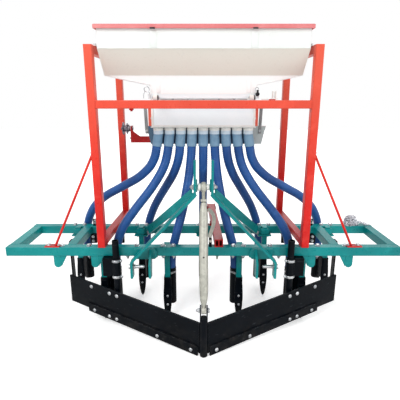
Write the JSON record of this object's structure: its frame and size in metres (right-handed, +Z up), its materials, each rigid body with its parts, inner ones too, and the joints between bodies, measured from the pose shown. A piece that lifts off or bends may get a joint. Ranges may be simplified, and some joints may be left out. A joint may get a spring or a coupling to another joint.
{
  "type": "seed drill",
  "caption": "Tractor-mounted seed drill: toolbar frame with tynes and seed hoses, white hopper on a red stand, three-point hitch and a front V blade.",
  "frame": {"origin": "centre of the bounding box on the ground plane", "axes": "+Z up, -Y towards the tractor (the hitch and the V blade), +X to the right when looking at the hitch side"},
  "size_m": [2.134, 1.0406, 1.557],
  "materials": {
    "teal_paint": "gloss enamel",
    "red_paint": "gloss enamel",
    "white_paint": "gloss enamel",
    "black_paint": "satin enamel",
    "bright_steel": "zinc plated",
    "galvanised": "galvanised",
    "hose_blue": "smooth flexible hose"
  },
  "bodies": {
    "drill": {"front_beam": "teal_paint", "rear_beam": "teal_paint", "end_beam_left": "teal_paint", "end_beam_right": "teal_paint", "cross_beam_left": "teal_paint", "cross_beam_right": "teal_paint", "stand_left": "red_paint", "stand_right": "red_paint", "stand_crossbar_front": "red_paint", "stand_crossbar_rear": "red_paint", "hopper_tank": "white_paint", "metering_box": "white_paint", "outlet_manifold": "white_paint", "drive_bracket": "red_paint", "mast_left": "teal_paint", "mast_right": "teal_paint", "top_hitch_pin": "bright_steel", "lower_hitch_left": "teal_paint", "lower_hitch_right": "teal_paint", "blade_left": "black_paint", "blade_right": "black_paint", "nose_post": "black_paint", "nose_strut": "galvanised", "blade_leg_left": "black_paint", "blade_leg_right": "black_paint", "leg_holder_left": "black_paint", "leg_holder_right": "black_paint", "wing_stay_left": "black_paint", "wing_stay_right": "black_paint", "centre_arm": "red_paint", "tyne_shank_1": "teal_paint", "tyne_shank_2": "teal_paint", "tyne_shank_3": "teal_paint", "tyne_shank_4": "teal_paint", "tyne_shank_5": "teal_paint", "tyne_shank_6": "teal_paint", "tyne_shank_7": "teal_paint", "tyne_shank_8": "teal_paint", "tyne_shank_9": "teal_paint", "tyne_boot_1": "black_paint", "tyne_boot_2": "black_paint", "tyne_boot_3": "black_paint", "tyne_boot_4": "black_paint", "tyne_boot_5": "black_paint", "tyne_boot_6": "black_paint", "tyne_boot_7": "black_paint", "tyne_boot_8": "black_paint", "tyne_boot_9": "black_paint", "seed_hose_1": "hose_blue", "seed_hose_2": "hose_blue", "seed_hose_3": "hose_blue", "seed_hose_4": "hose_blue", "seed_hose_5": "hose_blue", "seed_hose_6": "hose_blue", "seed_hose_7": "hose_blue", "seed_hose_8": "hose_blue", "seed_hose_9": "hose_blue"},
    "lid": {"hopper_lid": "red_paint"},
    "drive_shaft": {"metering_shaft": "bright_steel"}
  },
  "joints": [
    {"name": "lid_hinge", "type": "hinge", "parent": "drill", "child": "lid", "pos_m": [0, 0.41973, 1.549], "axis": [-1, 0, 0], "range_deg": [0, 100]},
    {"name": "drive_spin", "type": "hinge", "parent": "drill", "child": "drive_shaft", "pos_m": [-0.43, 0.09573, 1.06], "axis": [1, 0, 0], "continuous": true}
  ]
}
